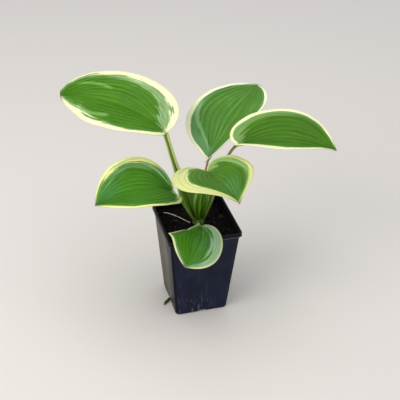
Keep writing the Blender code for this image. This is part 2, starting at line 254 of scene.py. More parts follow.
def with_ends(rings):
    """The rings' points, or values at them, and then the means of the first and last ring."""
    rings = np.asarray(rings, float)
    return np.vstack([rings.reshape(-1, 3), rings[0].mean(axis=0), rings[-1].mean(axis=0)])


def skin(name, rings, material, **fields):
    """A closed tube over rings of equally many points. fields hold a value for each ring point."""
    full = {key: with_ends(values) for key, values in fields.items()}
    return add_mesh(name, with_ends(rings), skin_faces(len(rings), len(rings[0])), material, **full)


def ring_frames(route):
    """Two directions across a route at each of its points, with no twist between them."""
    across = np.array((1, 0, 0))
    frames = []
    for tangent in directions(route):
        across = unit(across - tangent * np.dot(across, tangent))
        frames.append((across, np.cross(tangent, across)))
    return frames


def angles_around(sides):
    return np.linspace(0, 2 * np.pi, sides, endpoint=False)


def oval_ring(point, across, other, angles, wide, deep):
    """Points around a route's point, wide and deep in the two directions across it."""
    return point + np.outer(wide * np.cos(angles), across) + np.outer(deep * np.sin(angles), other)


def ring_values(*values):
    """Three values for each point of a ring. A value may be the same all around."""
    return np.stack(np.broadcast_arrays(*values), axis=1)


def lattice_noise(x, y, cell, seed):
    """Smooth random numbers from -1 to 1 over the plane, that change over about one cell."""
    size = 64
    table = np.random.default_rng(seed).uniform(-1, 1, (size, size))
    u, v = np.asarray(x) / cell + 31.7, np.asarray(y) / cell + 17.3
    iu, iv = np.floor(u).astype(int), np.floor(v).astype(int)
    fu, fv = u - iu, v - iv
    fu, fv = fu * fu * (3 - 2 * fu), fv * fv * (3 - 2 * fv)

    def at(a, b):
        return table[a % size, b % size]

    low = at(iu, iv) * (1 - fu) + at(iu + 1, iv) * fu
    high = at(iu, iv + 1) * (1 - fu) + at(iu + 1, iv + 1) * fu
    return low * (1 - fv) + high * fv


# ---- leaves


@dataclass
class Leaf:
    """A leaf's shape and looks, in millimetres and degrees. Pairs are for its left and right half."""

    name: str
    foot: tuple  # where its stalk stands, from the middle of the crown
    base: tuple  # where its blade starts
    heading: float  # direction of the midrib at the base, from +X
    sweep: float  # turn of that direction from base to tip
    pitch: float  # slope of the midrib at the base
    droop: float  # fall of that slope from base to tip
    roll: float  # tilt about the midrib at the base
    twist: float  # more tilt from base to tip
    length: float
    half_width: tuple
    lobe: tuple  # reach of the lobes behind the base
    belly: float  # place of the widest part, as a share of the length
    tip: float  # bluntness of the tip
    shoulder: tuple  # roundness behind and ahead of the widest part
    fold: tuple  # rise of each half beside the midrib
    curl: tuple  # bend of each half from midrib to margin
    stalk_width: float
    cream: tuple  # width of the pale margin at even steps from base to tip, for each half
    middle: tuple  # width of the grey-green zone inside it, likewise
    green: tuple
    base_green: tuple
    pale: tuple
    grey: tuple
    wave: float = 0.8  # height of the margin's waves
    bow: tuple = (0.0, 0.0, 0.0)  # how far the stalk bends aside
    opening: float = 0.0  # how much the fold opens towards the tip
    corners: tuple = ()  # drawn-out stretches of margin: place along, side, reach, x, y, z
    ragged: float = 1.0  # unevenness of the pale margin's inner edge
    streaks: tuple = ()  # pale streaks: place along and side of each end, breadth
    streak: tuple = (130, 170, 100)
    painted_sheen: tuple = ()  # painted bluish sheen: place along, side, reach along, reach across
    painted_highlights: tuple = ()  # painted highlights in a brighter green, given like the sheen
    furrow_shade_depth: float = 1.0  # strength of the painted shade beside the veins
    rib: tuple = None  # colour of the midrib, where it isn't a light green
    stalk: tuple = (76, 122, 24)
    stalk_edge: tuple = (170, 190, 96)
    sheath: float = 1.0  # how much broader the stalk is low down
    lean: float = 0.0  # how far that broad part stands to the leaf's left
    wings: tuple = (0.14, 0.14)  # pale strips along the stalk's edges, as shares of its half width
    wing_growth: float = 1.0  # how far the wings widen the stalk


BACK_LEFT = Leaf(
    "back_left", foot=(-2.8, 3.8), base=(-28.5, 34.5, 221),
    heading=115.5, sweep=56, pitch=16.5, droop=17, roll=2, twist=-35, length=144,
    half_width=(53.5, 43.5), lobe=(0.07, 0.01), belly=0.33, tip=0.1,
    shoulder=(0.29, 0.42), fold=(25, 28), curl=(-30, -2), stalk_width=6.6, wave=1,
    bow=(-6.5, -1, 0), opening=0.9,
    corners=(
        (0.88, -1, 0.08, 0, 0, 3.2), (0.95, -1, 0.04, -1.8, 0, 0.6),
        (0.93, 1, 0.05, -1.8, 0, 0.5), (0.78, 1, 0.06, 0, 0, 2.6),
        (0.4, 1, 0.15, 0, 0, 0.8),
    ),
    cream=((3, 6, 6, 6, 9.5, 0.6), (4, 8, 7.5, 5, 1.2, 0)),
    middle=((2, 2.5, 2, 4, 5, 1), (7, 17, 10, 4, 2.5, 1)),
    green=(66, 122, 6), base_green=(70, 126, 6), pale=(248, 250, 206), grey=(158, 190, 134),
    streaks=((0.6, -0.39, 0.82, -0.76, 0.07), (0.53, 0.56, 0.9, 0.8, 0.08)), streak=(126, 172, 84),
    stalk=(110, 142, 30), stalk_edge=(206, 216, 142), sheath=1.6, lean=-3.2,
    wings=(0.14, 0.8), wing_growth=1.35,
)
BACK_RIGHT = Leaf(
    "back_right", foot=(3.2, 3.6), base=(26.5, 46, 171.2),
    heading=9, sweep=40, pitch=54.5, droop=38, roll=-9, twist=15, length=117.5,
    half_width=(53.5, 43.5), lobe=(0.01, 0.06), belly=0.31, tip=0.05,
    shoulder=(0.28, 0.35), fold=(23, 30.5), curl=(28, 2), stalk_width=4.2,
    opening=0.9,
    cream=((2, 4.5, 6.5, 3.4, 3, 1.5), (2, 2.5, 3, 3, 3.5, 1.8)),
    middle=((8, 14, 8, 4, 2, 1), (1, 1, 1, 2, 2, 1)),
    green=(79, 132, 42), base_green=(50, 112, 4), pale=(252, 254, 226), grey=(112, 160, 108),
    ragged=0.5, streaks=((0.1, 0.5, 0.34, 0.69, 0.06), (0.32, 0.68, 0.58, 0.9, 0.06)),
    streak=(144, 190, 134), painted_sheen=((0.25, 0.85, 0.25, 0.35),), sheath=1.6,
    rib=(128, 92, 44), stalk=(150, 120, 62), stalk_edge=(190, 166, 106),
)
RIGHT = Leaf(
    "right", foot=(4.6, -1.2), base=(44.4, -4.6, 217.5),
    heading=-15.5, sweep=-11, pitch=8, droop=18.5, roll=-1.5, twist=4, length=116,
    half_width=(44, 41.5), lobe=(0.12, 0.07), belly=0.45, tip=0.3,
    shoulder=(0.42, 0.37), fold=(30, 31.5), curl=(9.5, -19), stalk_width=4.6,
    bow=(4, 5, 0), corners=((0.52, -1, 0.12, 0, -0.5, -2),),
    cream=((3, 3.8, 3.8, 3.2, 2.5, 0.4), (6, 11, 7.5, 6, 7, 1)),
    middle=((5, 11, 8, 3, 1.5, 1), (2, 5, 4, 3, 3, 2)),
    green=(62, 114, 4), base_green=(66, 110, 14), pale=(246, 250, 208), grey=(128, 166, 96), wave=0.9,
    ragged=0.4, stalk=(98, 96, 48), stalk_edge=(140, 134, 84), sheath=1.2, wing_growth=1.4,
    furrow_shade_depth=0.75,
)
LEFT = Leaf(
    "left", foot=(-4.3, -1.8), base=(-27.5, 0, 162),
    heading=193, sweep=-9, pitch=30, droop=63, roll=-18, twist=-4, length=103,
    half_width=(33, 41), lobe=(0.11, 0.02), belly=0.44, tip=0.35,
    shoulder=(0.41, 0.32), fold=(18, 10), curl=(-13, 2), stalk_width=4.6,
    corners=((0.3, 1, 0.16, 1, -1, -2.2),),
    cream=((5, 5, 3, 3, 2.5, 0.5), (2, 1.5, 5.5, 7.5, 1.8, 0.8)),
    middle=((4, 4, 2, 2.5, 1, 1), (2, 4, 10, 8, 4, 1)),
    green=(58, 118, 10), base_green=(42, 100, 0), pale=(238, 240, 164), grey=(116, 164, 92),
    ragged=1.3,
    streaks=(
        (0.1, -0.72, 0.42, -0.84, 0.05), (0.2, -0.95, 0.36, -0.95, 0.03),
        (0.46, -0.93, 0.66, -0.9, 0.03),
    ),
    streak=(150, 190, 138), painted_sheen=((0.85, -0.3, 0.2, 0.6), (0.5, -0.85, 0.25, 0.12)),
    painted_highlights=((0.44, -0.05, 0.2, 0.5),),
)
FRONT = Leaf(
    "front", foot=(0, 0), base=(7, -15, 193.5),
    heading=-87, sweep=2, pitch=18, droop=19.5, roll=8, twist=-5, length=100,
    half_width=(41, 51), lobe=(0.25, 0.25), belly=0.39, tip=0.5,
    shoulder=(0.48, 0.33), fold=(29, 28), curl=(-30, -48), stalk_width=4.8,
    corners=((0.48, -1, 0.18, 0, 1, 2),),
    cream=((1.5, 4, 5, 6, 2.5, 2), (1, 3, 12, 18, 18, 15.5, 13, 11, 9, 6, 2.5)),
    middle=((3, 12, 11, 3, 2, 2), (2, 4, 1, 1, 1, 1)),
    green=(62, 112, 6), base_green=(66, 116, 12), pale=(214, 218, 150), grey=(146, 184, 106),
    ragged=0.2, streaks=((0.12, -0.9, 0.34, -0.9, 0.06),), streak=(168, 186, 116),
    painted_sheen=((0.84, 0.17, 0.14, 0.45), (0.68, 0.12, 0.18, 0.4)), sheath=3.5, furrow_shade_depth=0.6,
)
LOW_FRONT = Leaf(
    "low_front", foot=(0.4, -5), base=(-1.5, -27.4, 125.4),
    heading=-98.5, sweep=-53, pitch=4.5, droop=44.5, roll=-1.5, twist=-14.5, length=66,
    half_width=(28.5, 28), lobe=(0.14, 0.06), belly=0.48, tip=0.2,
    shoulder=(0.38, 0.37), fold=(10.5, 7), curl=(-46, -17), stalk_width=3.6,
    corners=(
        (0.44, -1, 0.08, -11.5, 2.4, 2), (0.24, -1, 0.07, 0, -1, -2),
        (0.07, -0.9, 0.05, 1.5, 0.5, 5),
    ),
    cream=((0.6, 2.6, 2.8, 1.8, 1.6, 0.6), (1.5, 1.8, 2, 2.4, 2, 0.8)),
    middle=((0.2, 9, 14.5, 11, 4, 1), (0.5, 2, 1, 1.5, 1.5, 1)),
    green=(60, 118, 8), base_green=(50, 112, 4), pale=(224, 228, 186), grey=(178, 212, 172), wave=0.5,
    ragged=0.7, painted_sheen=((0.5, 0.14, 0.2, 0.4), (0.8, 0.44, 0.1, 0.3)), sheath=0.6, furrow_shade_depth=0.4,
)
LEAVES = (BACK_LEFT, BACK_RIGHT, RIGHT, LEFT, FRONT, LOW_FRONT)
CROWN = np.array((4, 3, 111.5))
LEAF_ROWS = 110
LEAF_COLUMNS = 36
VEINS = 8
LEAF_THICKNESS = 0.55


def outline(leaf, half, t):
    """Flat outline of one half: x along the midrib and y outwards."""
    length, width = leaf.length, leaf.half_width[half]
    lobe, (back, front) = leaf.lobe[half], leaf.shoulder
    widest = leaf.belly * length
    behind = (-1.25 * lobe * length, 0.3 * width)
    ahead = (length * (1 - 0.22 * leaf.tip), 0.3 * width * (1.2 - leaf.tip))
    middle = (widest, width)
    t = np.asarray(t, float)
    rear = bezier(((0, 0), behind, (widest - back * length, width), middle), np.clip(2 * t, 0, 1))
    fore = bezier((middle, (widest + front * length, width), ahead, (length, 0)), np.clip(2 * t - 1, 0, 1))
    return np.where(t[..., None] < 0.5, rear, fore)


def midrib_frames(leaf, x):
    """Points at x along the midrib, and the directions onward, to the left and up there."""
    count = 400
    share = np.linspace(0, 1, count + 1)
    pitch = np.radians(leaf.pitch - leaf.droop * share**1.3)
    heading = np.radians(leaf.heading + leaf.sweep * share)
    level = np.cos(pitch)
    tangents = np.stack([level * np.cos(heading), level * np.sin(heading), np.sin(pitch)], axis=1)
    steps = (tangents[1:] + tangents[:-1]) / 2 * leaf.length / count
    points = leaf.base + np.vstack([np.zeros(3), np.cumsum(steps, axis=0)])
    inside = np.clip(x, 0, leaf.length) / leaf.length
    point, tangent = (
        np.stack([np.interp(inside, share, column) for column in rows.T], axis=-1)
        for rows in (points, tangents)
    )
    tangent = unit(tangent)
    point = point + tangent * (x - inside * leaf.length)[..., None]
    turn = np.interp(inside, share, heading)
    sideways = np.stack([-np.sin(turn), np.cos(turn), 0 * turn], axis=-1)
    return point, tangent, sideways, np.cross(tangent, sideways)


def leaf_relief(leaf, t, v, y, q, sign):
    """Height of the margin's waves, the swellings between veins and the groove over the midrib."""
    seed = sum(map(ord, leaf.name))
    ripple = lattice_noise(t * 7, sign * 3, 1, seed)
    ripple = ripple + 0.5 * lattice_noise(t * 17, sign * 3, 1, seed + 1)
    toward_margin = np.clip((v - 0.55) / 0.45, 0, 1)**2
    vein = np.abs(np.sin(np.pi * VEINS * v))**0.7
    quilt = 0.17 * (vein - 0.6) * np.clip(q * 6, 0, 1) * np.sin(np.pi * np.clip(t, 0.02, 0.98))**0.5
    groove = -0.9 * np.exp(-(y / 1.3)**2) * (1 - 0.7 * t)
    return leaf.wave * ripple * toward_margin + quilt + groove


def margin_distance(leaf, x, y, left):
    """Distance of each flat point from its own half's outline."""
    distance = np.empty_like(y)
    for half, mask in ((0, left), (1, ~left)):
        fine = outline(leaf, half, np.linspace(0, 1, 160))
        flat = np.stack([x[mask], y[mask]], axis=1)
        distance[mask] = np.sqrt(((flat[:, None] - fine[None])**2).sum(axis=2)).min(axis=1)
    return distance


def leaf_sheet(leaf):
    """Grid of the blade's upper side, rows from base to tip, columns right to left, and its fields."""
    rows, columns = np.linspace(0, 1, LEAF_ROWS + 1), np.linspace(-1, 1, 2 * LEAF_COLUMNS + 1)
    t, s = np.meshgrid(rows, columns, indexing="ij")
    v = np.abs(s)
    left = s > 0
    sign = np.where(left, 1, -1)
    both = [outline(leaf, half, t[:, 0]) for half in (0, 1)]
    edge = np.where(left[..., None], both[0][:, None], both[1][:, None])
    x = (1 - v**2) * t * leaf.length + v**2 * edge[..., 0]
    y = v * edge[..., 1]
    point, tangent, sideways, upward = midrib_frames(leaf, x)
    roll = np.radians(leaf.roll + leaf.twist * np.clip(x / leaf.length, 0, 1))
    opened = np.clip((x / leaf.length - 0.4) / 0.6, 0, 1)**1.5
    fold = np.radians(np.where(left, *leaf.fold)) * (1 - leaf.opening * opened)
    curl = np.radians(np.where(left, *leaf.curl))
    width = np.where(left, *leaf.half_width)
    q = y / width
    out = sign * width / curl * (np.sin(fold + curl * q) - np.sin(fold))
    rise = width / curl * (np.cos(fold) - np.cos(fold + curl * q))
    shift = out * np.cos(roll) - rise * np.sin(roll)
    lift = out * np.sin(roll) + rise * np.cos(roll)
    grid = point + sideways * shift[..., None] + upward * lift[..., None]
    grid = grid + upward * leaf_relief(leaf, t, v, y, q, sign)[..., None]
    for place, side, reach, *pull in leaf.corners:
        near = np.exp(-np.abs(t - place) / reach - ((s - side) / 0.4)**2)
        grid = grid + near[..., None] * pull

    def width_of(zone):
        """Width of a zone at each point, from its widths at even steps from base to tip."""
        halves = [np.interp(t, np.linspace(0, 1, len(widths)), widths) for widths in zone]
        return np.where(left, *halves)

    fields = {
        "flow": np.stack([s, t * leaf.length, margin_distance(leaf, x, y, left)], axis=-1),
        "zones": np.stack([width_of(leaf.cream), width_of(leaf.middle), y], axis=-1),
    }
    return grid, fields


def grid_normals(grid):
    """Upward directions at the grid's points."""
    normals = np.cross(np.gradient(grid, axis=0), np.gradient(grid, axis=1))
    size = np.linalg.norm(normals, axis=-1, keepdims=True)
    return normals / np.maximum(size, 1e-9)


def with_poles(sheet):
    """The sheet's inner rows, and then one point for its first row and one for its last."""
    inner = sheet[1:-1].reshape(-1, 3)
    return np.vstack([inner, sheet[0].mean(axis=0), sheet[-1].mean(axis=0)])


def blade_faces(rows, columns, count):
    """Faces of two sheets of count points, poles last, that are joined along their margins."""
    base, tip = count - 2, count - 1
    last = (rows - 1) * columns
    faces = grid_faces(rows, columns)
    for j in range(columns - 1):
        faces.append((base, j + 1, j))
        faces.append((last + j, last + j + 1, tip))
    lower = [tuple(count + k for k in reversed(face)) for face in faces]
    rim = [base, *range(0, last + 1, columns), tip, *range(last + columns - 1, 0, -columns)]
    joint = [(a, b, count + b, count + a) for a, b in zip(rim, rim[1:] + rim[:1])]
    return faces + lower + joint


def make_blade(leaf, material):
    grid, fields = leaf_sheet(leaf)
    normals = grid_normals(grid)
    normals[0] = normals[3].mean(axis=0)
    normals[-1] = normals[-4].mean(axis=0)
    normals = unit(normals)
    y, distance = fields["zones"][..., 2], fields["flow"][..., 2]
    t = np.linspace(0, 1, LEAF_ROWS + 1)[:, None]
    thickness = LEAF_THICKNESS * np.clip(0.35 + distance / 1.2, 0, 1)
    thickness = thickness + 1.5 * (1 - 0.85 * t) * np.exp(-(y / (1.6 - t))**2)
    top, bottom = with_poles(grid), with_poles(grid - normals * thickness[..., None])
    count = len(top)
    faces = blade_faces(LEAF_ROWS - 1, 2 * LEAF_COLUMNS + 1, count)
    doubled = {key: np.vstack([with_poles(values)] * 2) for key, values in fields.items()}
    doubled["side"] = np.vstack([np.zeros((count, 3)), np.ones((count, 3))])
    blade = add_mesh(f"leaf_{leaf.name}", np.vstack([top, bottom]), faces, material, **doubled)
    bm = bmesh.new()
    bm.from_mesh(blade.data)
    bmesh.ops.recalc_face_normals(bm, faces=bm.faces)
    bm.to_mesh(blade.data)
    bm.free()
    declare(blade, "leaf_blade", f"blade_{leaf.name}")


class BladeShader(Shader):
    """A blade's material, with the places and the noises that its colours are made from."""

    def __init__(self, leaf, seed):
        super().__init__(
            f"blade_{leaf.name}", Subsurface_Weight=0.12, Subsurface_Scale=0.002,
            Subsurface_Radius=(0.6, 1, 0.2), Specular_IOR_Level=0.2,
        )
        self.leaf = leaf
        self.side, self.along, self.edge = self.field("flow")
        self.cream, self.middle, self.off_rib = self.field("zones")
        self.under = self.field("side")[0]
        self.share = self.times(self.along, 1 / leaf.length)
        self.streaks = self.veined(26, 0.045, seed, 3)
        self.broad = self.veined(7, 0.03, seed + 5)
        self.bands = self.veined(15, 0.018, seed + 3)
        self.fine = self.veined(64, 0.05, seed + 9)
        self.patches = self.noise(self.place(), 34, 3)

    def veined(self, across, lengthwise, shift, detail=2):
        """Noise drawn out along the veins."""
        return self.fibres((self.side, across), (self.along, lengthwise), shift, detail, 0.6)


def zones(sh):
    """Masks of the pale margin and of the grey-green zone inside it, with uneven inner edges."""
    ragged = sh.leaf.ragged
    feather = sh.line(sh.streaks, 2.6 * ragged, 1 - 1.3 * ragged)
    limit = sh.times(sh.cream, feather)
    is_cream = sh.step(sh.minus(limit, sh.edge), -0.45, 0.55)
    spread = 1 + 2 * ragged
    uneven = sh.line(sh.broad, spread, 0.9 - spread / 2)
    reach = sh.line(sh.middle, uneven, limit)
    return is_cream, sh.step(sh.minus(reach, sh.edge), -2, 3.5)


def vein_lines(sh):
    """0 on the veins and 1 midway between them."""
    v = sh.math("ABSOLUTE", sh.side)
    wander = sh.line(sh.bands, 0.9, sh.times(v, math.pi * VEINS))
    return sh.math("ABSOLUTE", sh.math("SINE", wander))


def spot(sh, share, side, reach_along, reach_across):
    """1 at a place on the blade, fading around it."""
    far = sh.times(sh.minus(sh.share, share), 1 / reach_along)
    off = sh.times(sh.minus(sh.side, side), 1 / reach_across)
    square = sh.math("ADD", sh.times(far, far), sh.times(off, off))
    return sh.step(square, 1.6, 0)


def streak_mask(sh, start, start_side, end, end_side, breadth):
    """1 along a line between two places on the blade."""
    slope = (end_side - start_side) / (end - start)
    line = sh.line(sh.share, slope, start_side - slope * start)
    away = sh.math("ABSOLUTE", sh.minus(sh.side, line))
    away = sh.math("ADD", away, sh.line(sh.streaks, 0.08, -0.04))
    mask = sh.step(away, breadth, 0.35 * breadth)
    mask = sh.times(mask, sh.step(sh.share, start - 0.015, start + 0.04))
    return sh.times(mask, sh.step(sh.share, end + 0.03, end - 0.05))


def edge_shade_and_dry_tip(sh):
    """A thin brown line right on the margin, here and there, as painted shade along the edge, and the dry
    brown tip.
    """
    line = sh.times(sh.step(sh.edge, 0.55, 0.05), sh.step(sh.broad, 0.5, 0.62))
    tip = sh.times(sh.step(sh.edge, 2.2, 0.3), sh.step(sh.share, 0.86, 0.97))
    return sh.math("MAXIMUM", line, tip)


def centre_colour(sh, lines, vein):
    """Mottled green, where each vein is a thin light line between two darker lines of painted shade, with
    painted sheen and painted highlight spots.
    """
    leaf = sh.leaf
    green = srgb(*leaf.green)
    dark = scaled(green, 0.4, 0.5, 0.4)
    light = scaled(green, 1.75, 1.42, 2.4)
    # the colour of the painted bluish sheen
    sheen_tint = (green[0] * 1.55, green[1] * 1.38, green[1] * 0.34)
    highlight_green = scaled(green, 1.5, 1.3, 0.2)
    colour = sh.mix(sh.step(sh.share, 0.02, 0.42), srgb(*leaf.base_green), green)
    colour = sh.over(colour, light, sh.step(sh.patches, 0.4, 0.7), 0.5)
    # painted sheen and painted highlights, laid over the green
    for areas, tint in ((leaf.painted_sheen, sheen_tint), (leaf.painted_highlights, highlight_green)):
        for area in areas:
            colour = sh.over(colour, tint, spot(sh, *area), 0.75)
    colour = sh.over(colour, light, sh.step(sh.bands, 0.52, 0.68), 0.5)
    colour = sh.over(colour, dark, sh.step(sh.bands, 0.48, 0.32), 0.45)
    # painted shade in the furrows beside each vein
    furrow_shade = sh.times(sh.step(lines, 0.1, 0.34), sh.step(lines, 0.75, 0.34))
    colour = sh.over(colour, dark, furrow_shade, 0.7 * leaf.furrow_shade_depth)
    colour = sh.over(colour, light, vein, sh.step(sh.broad, 0.3, 0.55))
    colour = sh.over(colour, light, sh.step(sh.fine, 0.52, 0.78), 0.35)
    return sh.over(colour, dark, sh.step(sh.fine, 0.48, 0.24), 0.35)


def grey_colour(sh):
    grey = srgb(*sh.leaf.grey)
    contrast = 0.3 * sh.leaf.ragged
    colour = sh.mix(sh.step(sh.streaks, 0.4, 0.6), scaled(grey, 1 - contrast), grey)
    return sh.mix(sh.step(sh.fine, 0.52, 0.72), colour, scaled(grey, 1 + contrast))


def cream_colour(sh):
    pale = srgb(*sh.leaf.pale)
    colour = sh.mix(sh.step(sh.fine, 0.25, 0.75), scaled(pale, 0.96, 0.95, 0.78), pale)
    return sh.over(colour, srgb(208, 226, 120), sh.step(sh.edge, 1.5, 0.2), 0.45)


def blade_relief(sh, lines):
    """Veins sunk into the upper side and raised on the lower, fine bands, and pores."""
    height = sh.math("POWER", lines, 0.6)
    height = sh.times(height, sh.minus(1, sh.times(sh.under, 2)))
    normal = sh.bump(height, 0.0012, 0.6)
    grain = sh.math("ADD", sh.bands, sh.times(sh.fine, 0.2))
    normal = sh.bump(grain, 0.0016, 0.5, normal)
    return sh.bump(sh.noise(sh.place(), 1400), 0.00004, 0.4, normal)


def blade_material(leaf, seed):
    sh = BladeShader(leaf, seed)
    is_cream, is_grey = zones(sh)
    lines = vein_lines(sh)
    vein = sh.step(lines, 0.26, 0.04)
    centre = centre_colour(sh, lines, vein)
    colour = sh.mix(is_grey, centre, sh.mix(0.78, centre, grey_colour(sh)))
    colour = sh.mix(is_cream, colour, cream_colour(sh))
    for streak in leaf.streaks:
        colour = sh.over(colour, srgb(*leaf.streak), streak_mask(sh, *streak), 0.75)
    rib = sh.step(sh.math("ABSOLUTE", sh.off_rib), 1.2, 0.25)
    rib_colour = srgb(*leaf.rib) if leaf.rib else scaled(srgb(*leaf.green), 1.25, 1.1, 1)
    colour = sh.over(colour, rib_colour, rib, sh.minus(0.75, sh.times(sh.share, 0.6)))
    # painted shade along the margin here and there, and the dry brown tip
    colour = sh.over(colour, srgb(104, 84, 44), edge_shade_and_dry_tip(sh), 0.7)
    back = sh.mix(vein, srgb(118, 156, 80), srgb(142, 176, 96))
    back = sh.mix(is_cream, back, srgb(226, 232, 190))
    back = sh.mix(rib, back, srgb(168, 190, 110))
    colour = sh.mix(sh.under, colour, back)
    return sh.finish(colour, sh.line(sh.patches, 0.16, 0.38), blade_relief(sh, lines))


def stalk_route(leaf, count):
    """Points of the stalk from the crown to the blade, and the straight distance between those."""
    foot = CROWN + (*leaf.foot, 0.3)
    _, tangent, _, upward = midrib_frames(leaf, np.array([0]))
    end = leaf.base - upward[0] * 0.9 + tangent[0] * 0.5
    reach = np.linalg.norm(end - foot)
    straight = (end - foot) / reach
    arrival = unit(straight + 0.8 * tangent[0])
    leave = foot + (np.array((0, 0, 0.08)) + 0.2 * straight) * reach + leaf.bow
    arrive = end - 0.22 * arrival * reach + leaf.bow
    return bezier((foot, leave, arrive, end), np.linspace(0, 1, count)), reach


def make_stalk(leaf, material):
    """A channelled stalk with thin raised lips, broad low down."""
    count, angles = 70, angles_around(48)
    route, reach = stalk_route(leaf, count)
    fan_place, fan_reach, wing_start = min(34, 0.42 * reach), min(22, 0.3 * reach), 15
    heading = math.radians(leaf.heading)
    sideways = np.array((-math.sin(heading), math.cos(heading), 0))
    side, height = np.cos(angles), np.sin(angles)
    channel = np.maximum(0, 1 - (side / 0.72)**2)
    rings, fields = [], []
    for share, point, along in zip(np.linspace(0, 1, count), route, directions(route)):
        level = unit(sideways - along * np.dot(sideways, along))
        roll = math.radians(leaf.roll) * share
        across = level * math.cos(roll) + np.cross(along, level) * math.sin(roll)
        up = np.cross(along, across)
        sheath = math.exp(-((share * reach - fan_place) / fan_reach)**2)
        wide = leaf.stalk_width * (1 + (leaf.wing_growth - 1) * min(1, share * reach / wing_start))
        width = wide * (1 - 0.12 * share) * (1 + leaf.sheath * sheath)
        depth = wide * 0.62 * (1 + 0.9 * leaf.sheath * sheath)
        hollow = (0.72 + 0.35 * sheath) * (1 - 0.35 * share) * channel
        rise = np.where(height > 0, 0.42 * height - hollow, height)
        wobble = 1 + 0.02 * np.sin(9 * angles + 3 * share)
        ring = np.outer(side * width / 2 * wobble, across) + np.outer(rise * depth / 2 * wobble, up)
        rings.append(point + across * leaf.lean * sheath + ring)
        fields.append(ring_values(angles / (2 * np.pi), share * reach, side))
    stalk = skin(f"petiole_{leaf.name}", rings, material, around=fields)
    declare(stalk, "leaf_stalk", f"stalk_{leaf.name}")


def stalk_material(leaf):
    sh = Shader(
        f"petiole_{leaf.name}", Subsurface_Weight=0.08, Subsurface_Scale=0.002, Specular_IOR_Level=0.35,
    )
    turn, along, side = sh.field("around")
    left, right = leaf.wings
    wing = sh.step(side, 0.92 - left, 1.04 - left)
    wing = sh.math("MAXIMUM", wing, sh.step(side, right - 0.92, right - 1.04))
    lines = sh.fibres((turn, 34), (along, 0.02), 3)
    fine = sh.fibres((turn, 90), (along, 0.05), 1)
    body, edge = srgb(*leaf.stalk), srgb(*leaf.stalk_edge)
    dark = scaled(body, 0.4)
    colour = sh.mix(sh.step(lines, 0.38, 0.58), dark, body)
    colour = sh.mix(sh.step(lines, 0.58, 0.72), colour, srgb(160, 190, 76))
    colour = sh.over(colour, dark, sh.step(fine, 0.5, 0.7), 0.35)
    pale_line = sh.step(sh.math("ABSOLUTE", sh.minus(side, 0.52)), 0.16, 0.05)
    colour = sh.over(colour, edge, pale_line, 0.55)
    wing_colour = sh.mix(sh.step(fine, 0.35, 0.65), scaled(edge, 0.8), edge)
    colour = sh.over(colour, wing_colour, wing, 0.9)
    # the broad lower part is a fresh dark green with yellow-green stripes
    fan = sh.mix(sh.step(lines, 0.38, 0.56), srgb(26, 64, 2), srgb(76, 126, 8))
    fan = sh.mix(sh.step(lines, 0.55, 0.68), fan, srgb(160, 186, 58))
    fan = sh.over(fan, srgb(116, 158, 62), wing, 0.55)
    colour = sh.over(colour, fan, sh.step(along, 66, 42), 0.9)
    # painted shade: darker towards the foot, deep in the bundle of stalks
    colour = sh.over(colour, srgb(20, 50, 4), sh.step(along, 22, 2), 0.5)
    relief = sh.bump(lines, 0.0006, 0.7)
    relief = sh.bump(fine, 0.00015, 0.5, relief)
    return sh.finish(colour, sh.line(fine, 0.12, 0.36), relief)


# ---- pot


POT_HEIGHT, POT_TOP, POT_BASE = 119, 90, 66
RIM_HEIGHT, RIM_OVERHANG, POT_WALL = 4.8, 1.8, 1
POT_CORNER = 5.5
SLOT_SIZE = (12, 11, 7.6)


def rounded_square(width, radius, z, steps=9, runs=7):
    """A level ring: an arc and the straight run after it, turned to each corner."""
    inset = width / 2 - radius
    turns = np.radians(np.linspace(0, 90, steps + 1))
    run = np.linspace(inset, -inset, runs + 2)[1:-1]
    x = np.concatenate([inset + radius * np.cos(turns), run])
    y = np.concatenate([inset + radius * np.sin(turns), np.full(runs, inset + radius)])
    corners = ((x, y), (-y, x), (-x, -y), (y, -x))
    return np.vstack([ring_values(*corner, z) for corner in corners])


def wall_width(z):
    """Width of the pot's outside below its rim."""
    top = POT_TOP - 2 * RIM_OVERHANG
    return POT_BASE + (top - POT_BASE) * z / POT_HEIGHT


def cut_slots(pot):
    """A drain slot low in the middle of each wall."""
    for side in range(4):
        bm = bmesh.new()
        bmesh.ops.create_cube(bm, size=1)
        bmesh.ops.scale(bm, vec=SLOT_SIZE, verts=bm.verts)
        bmesh.ops.bevel(bm, geom=bm.edges, offset=1.2, segments=3, affect="EDGES")
        turn = Matrix.Rotation(math.radians(90 * side), 4, "Z")
        place = Matrix.Scale(MM, 4) @ turn @ Matrix.Translation((POT_BASE / 2, 0, 0))
        bmesh.ops.transform(bm, matrix=place, verts=bm.verts)
        mesh = bpy.data.meshes.new(f"slot_{side}")
        bm.to_mesh(mesh)
        bm.free()
        cutter = show(mesh.name, mesh)
        cut = pot.modifiers.new("slot", "BOOLEAN")
        cut.solver = "EXACT"
        cut.object = cutter
        bpy.context.view_layer.objects.active = pot
        bpy.ops.object.modifier_apply(modifier=cut.name)
        bpy.data.objects.remove(cutter, do_unlink=True)


